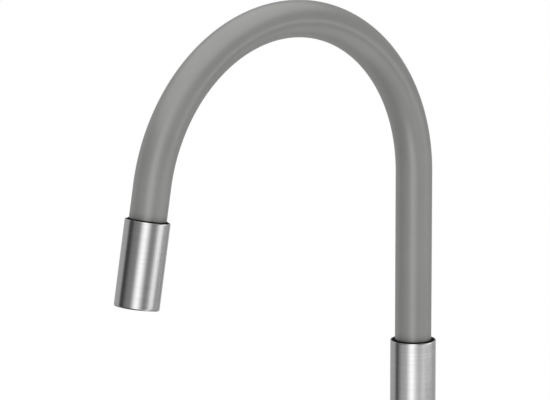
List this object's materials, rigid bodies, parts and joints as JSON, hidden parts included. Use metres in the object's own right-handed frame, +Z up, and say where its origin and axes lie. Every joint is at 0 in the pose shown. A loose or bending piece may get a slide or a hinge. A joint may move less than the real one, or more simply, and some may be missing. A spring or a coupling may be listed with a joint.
{
  "type": "mixer tap",
  "caption": "Kitchen mixer tap with a flexible silicone gooseneck spout, brushed steel collar and outlet head, and a side lever.",
  "frame": {"origin": "centre of the base's underside, where it stands on the worktop", "axes": "+Z up, the spout reaches towards -Y (the user), the lever's barrel points along +X"},
  "size_m": [0.096, 0.2779, 0.4653],
  "materials": {
    "brushed_steel": "brushed lengthwise, satin",
    "plain_steel": "turned, unpolished",
    "brass": "turned, unplated",
    "grey_silicone": "matt smooth silicone",
    "black_rubber": "matt",
    "hose_rubber": "satin",
    "dark_plastic": "moulded",
    "pale_plastic": "moulded",
    "ceramic": "lapped ceramic",
    "mark_plastic": "moulded, plain grey"
  },
  "bodies": {
    "body": {"base_ring": "brushed_steel", "base_gasket": "black_rubber", "main_body": "brushed_steel", "shank": "brass", "rubber_washer": "black_rubber", "steel_washer": "plain_steel", "shank_nut": "brass", "glide_ring": "dark_plastic", "spout_retaining_screw": "plain_steel", "cartridge_base": "pale_plastic", "port_seals": "black_rubber", "cartridge_housing": "pale_plastic", "fixed_disc": "ceramic", "cartridge_nut": "brass", "cover_ring": "brushed_steel"},
    "spout": {"swivel_stem": "brass", "swivel_o_rings": "black_rubber", "collar_tube": "brushed_steel", "lower_hose_fitting": "brass", "lower_hose_ferrule": "plain_steel", "water_hose": "hose_rubber", "lower_core_clamp": "dark_plastic", "gooseneck_core": "plain_steel", "silicone_sleeve": "grey_silicone"},
    "spout_head": {"head_tube": "brushed_steel", "upper_core_clamp": "dark_plastic", "upper_hose_fitting": "brass", "upper_hose_ferrule": "plain_steel", "head_adapter": "brass", "aerator_gasket": "black_rubber", "aerator_housing": "dark_plastic", "aerator_insert": "pale_plastic"},
    "lever_carrier": {"spindle_guide": "pale_plastic", "pivot_pin": "plain_steel"},
    "mixing_disc": {"moving_disc": "ceramic", "disc_carrier": "pale_plastic"},
    "handle": {"lever_stem": "brass", "handle_hub": "brushed_steel", "lever_rod": "brushed_steel", "handle_grub_screw": "plain_steel", "hub_plug": "mark_plastic"}
  },
  "joints": [
    {"name": "spout_swivel", "type": "hinge", "parent": "body", "child": "spout", "pos_m": [0, 0, 0.097], "axis": [0, 0, 1], "continuous": true},
    {"name": "spout_flex", "type": "hinge", "parent": "spout", "child": "spout_head", "pos_m": [0, -0.113, 0.3953], "axis": [1, 0, 0], "range_deg": [-15, 20], "stiffness_Nm_per_rad": 6, "springref_deg": -1.49, "deforming": ["silicone_sleeve", "gooseneck_core", "water_hose"]},
    {"name": "handle_turn", "type": "hinge", "parent": "body", "child": "lever_carrier", "pos_m": [0.0307, 0, 0.062], "axis": [1, 0, 0], "range_deg": [-45, 45]},
    {"name": "handle_lift", "type": "hinge", "parent": "lever_carrier", "child": "handle", "pos_m": [0.0307, 0, 0.062], "axis": [0, 1, 0], "range_deg": [0, 25]},
    {"name": "disc_slide", "type": "slide", "parent": "lever_carrier", "child": "mixing_disc", "axis": [0, 0, 1], "range_m": [0, 0.0041]}
  ],
  "couplings": [
    {"joint": "disc_slide", "follows": "handle_lift", "m_per_rad": 0.0091}
  ]
}
